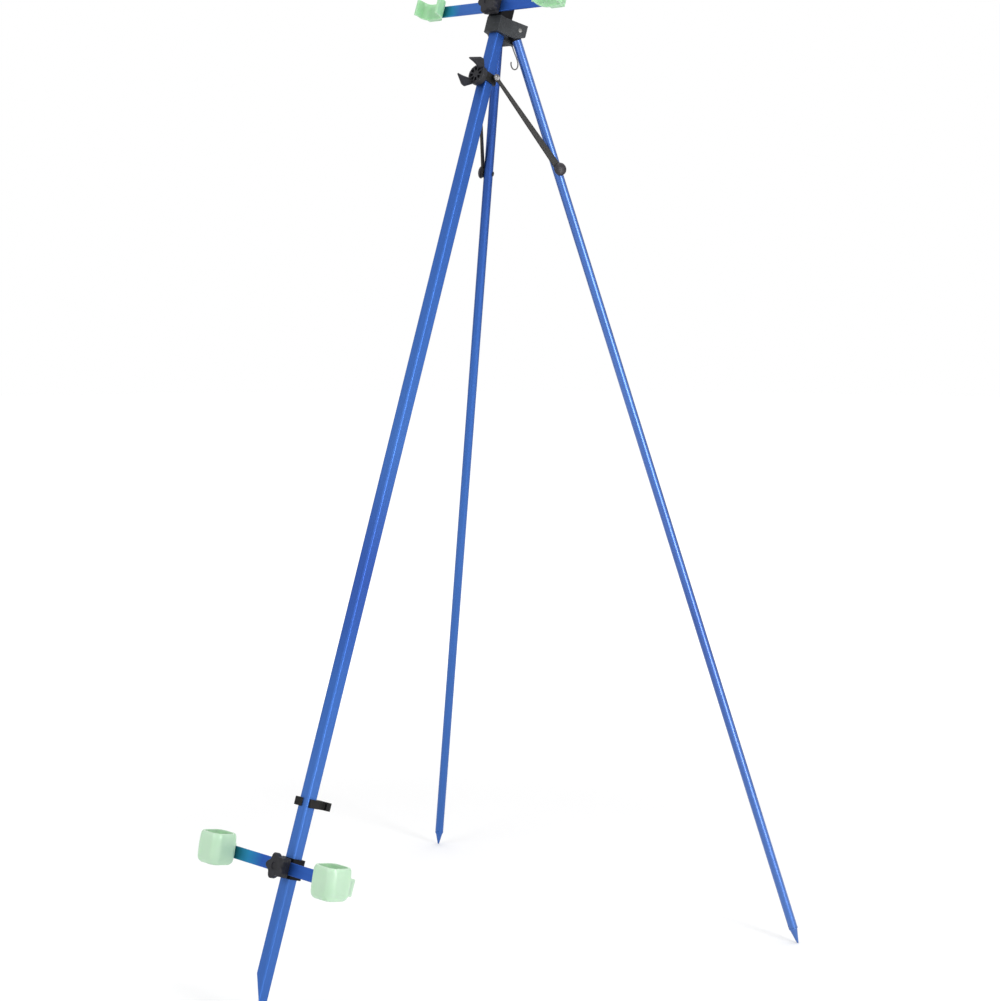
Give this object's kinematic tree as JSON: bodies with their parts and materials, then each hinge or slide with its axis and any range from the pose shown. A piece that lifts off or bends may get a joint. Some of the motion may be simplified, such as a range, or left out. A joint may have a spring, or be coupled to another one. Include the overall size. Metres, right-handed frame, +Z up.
{
  "type": "surf rod tripod",
  "caption": "Folding tripod stand for surf fishing rods: long square front leg, round rear legs, sliding brace, swivelling crossbars with open rod rests above and butt cups below.",
  "frame": {"origin": "centre of the overall footprint, on the ground under the three feet", "axes": "+Z up, -Y towards the front leg's foot, +X towards the object's right-hand rear leg as seen from behind, looking to the front"},
  "size_m": [0.8664, 0.8726, 1.6275],
  "materials": {
    "anodised_blue": "satin blue anodised",
    "black_plastic": "moulded, lightly grained",
    "pale_green": "translucent pale green, soft sheen",
    "steel": "plain"
  },
  "bodies": {
    "stand": {"front_leg": "anodised_blue", "head_body": "black_plastic", "upper_bracket": "black_plastic", "lower_bracket": "black_plastic", "leg_clip": "black_plastic", "upper_bolt": "steel", "lower_bolt": "steel", "hook_pin": "steel", "hinge_pin_right": "steel", "hinge_pin_left": "steel"},
    "rear_leg_right": {"leg_top_right": "black_plastic", "rear_leg_right": "anodised_blue", "foot_spike_right": "anodised_blue", "strut_bolt_right": "steel", "strut_dome_right": "black_plastic"},
    "rear_leg_left": {"leg_top_left": "black_plastic", "rear_leg_left": "anodised_blue", "foot_spike_left": "anodised_blue", "strut_bolt_left": "steel", "strut_dome_left": "black_plastic"},
    "strut_right": {"strut_right": "black_plastic", "strut_pin_right": "steel"},
    "strut_left": {"strut_left": "black_plastic", "strut_pin_left": "steel"},
    "brace_slider": {"brace_clamp": "black_plastic"},
    "wing_knob": {"wing_knob": "black_plastic", "wing_stem": "steel"},
    "upper_bar": {"upper_crossbar": "anodised_blue", "upper_saddle": "black_plastic", "rod_rest_right": "pale_green", "rod_rest_left": "pale_green"},
    "upper_knob": {"upper_knob": "black_plastic", "upper_insert": "steel"},
    "lower_bar": {"lower_crossbar": "anodised_blue", "lower_saddle": "black_plastic", "butt_cup_right": "pale_green", "butt_cup_left": "pale_green"},
    "lower_knob": {"lower_knob": "black_plastic", "lower_insert": "steel"},
    "hook": {"gear_hook": "steel"}
  },
  "joints": [
    {"name": "fold_right", "type": "hinge", "parent": "stand", "child": "rear_leg_right", "pos_m": [0.01965, 0.15851, 1.55952], "axis": [-0.8878, 0.432, -0.1586], "range_deg": [0, 33.37]},
    {"name": "fold_left", "type": "hinge", "parent": "stand", "child": "rear_leg_left", "pos_m": [-0.01965, 0.15851, 1.55952], "axis": [-0.8878, -0.432, 0.1586], "range_deg": [0, 33.37]},
    {"name": "strut_swing_right", "type": "hinge", "parent": "rear_leg_right", "child": "strut_right", "pos_m": [0.07805, 0.1946, 1.33095], "axis": [-0.8878, 0.432, -0.1586], "range_deg": [0, 14.9]},
    {"name": "strut_swing_left", "type": "hinge", "parent": "rear_leg_left", "child": "strut_left", "pos_m": [-0.07805, 0.1946, 1.33095], "axis": [-0.8878, -0.432, 0.1586], "range_deg": [0, 14.9]},
    {"name": "brace_slide", "type": "slide", "parent": "stand", "child": "brace_slider", "axis": [0, 0.3446, 0.9387], "range_m": [0, 0.0357]},
    {"name": "wing_knob_turn", "type": "hinge", "parent": "brace_slider", "child": "wing_knob", "pos_m": [0, 0.08245, 1.48571], "axis": [0, -0.9387, 0.3446], "continuous": true},
    {"name": "upper_bar_swivel", "type": "hinge", "parent": "stand", "child": "upper_bar", "pos_m": [0, 0.12592, 1.6012], "axis": [0, -0.9387, 0.3446], "range_deg": [-60, 60]},
    {"name": "upper_knob_turn", "type": "hinge", "parent": "stand", "child": "upper_knob", "pos_m": [0, 0.1109, 1.60672], "axis": [0, -0.9387, 0.3446], "continuous": true},
    {"name": "lower_bar_swivel", "type": "hinge", "parent": "stand", "child": "lower_bar", "pos_m": [0, -0.37037, 0.23781], "axis": [0, -0.9387, 0.3446], "range_deg": [-90, 90]},
    {"name": "lower_knob_turn", "type": "hinge", "parent": "stand", "child": "lower_knob", "pos_m": [0, -0.38445, 0.24298], "axis": [0, -0.9387, 0.3446], "continuous": true},
    {"name": "hook_swing", "type": "hinge", "parent": "stand", "child": "hook", "pos_m": [0, 0.16935, 1.54541], "axis": [1, 0, 0], "range_deg": [-35, 35]}
  ],
  "couplings": [
    {"joint": "fold_left", "follows": "fold_right", "ratio": 1},
    {"joint": "strut_swing_right", "follows": "fold_right", "ratio": 0.44611},
    {"joint": "strut_swing_left", "follows": "fold_right", "ratio": 0.44611},
    {"joint": "brace_slide", "follows": "fold_right", "m_per_rad": 0.061112}
  ]
}
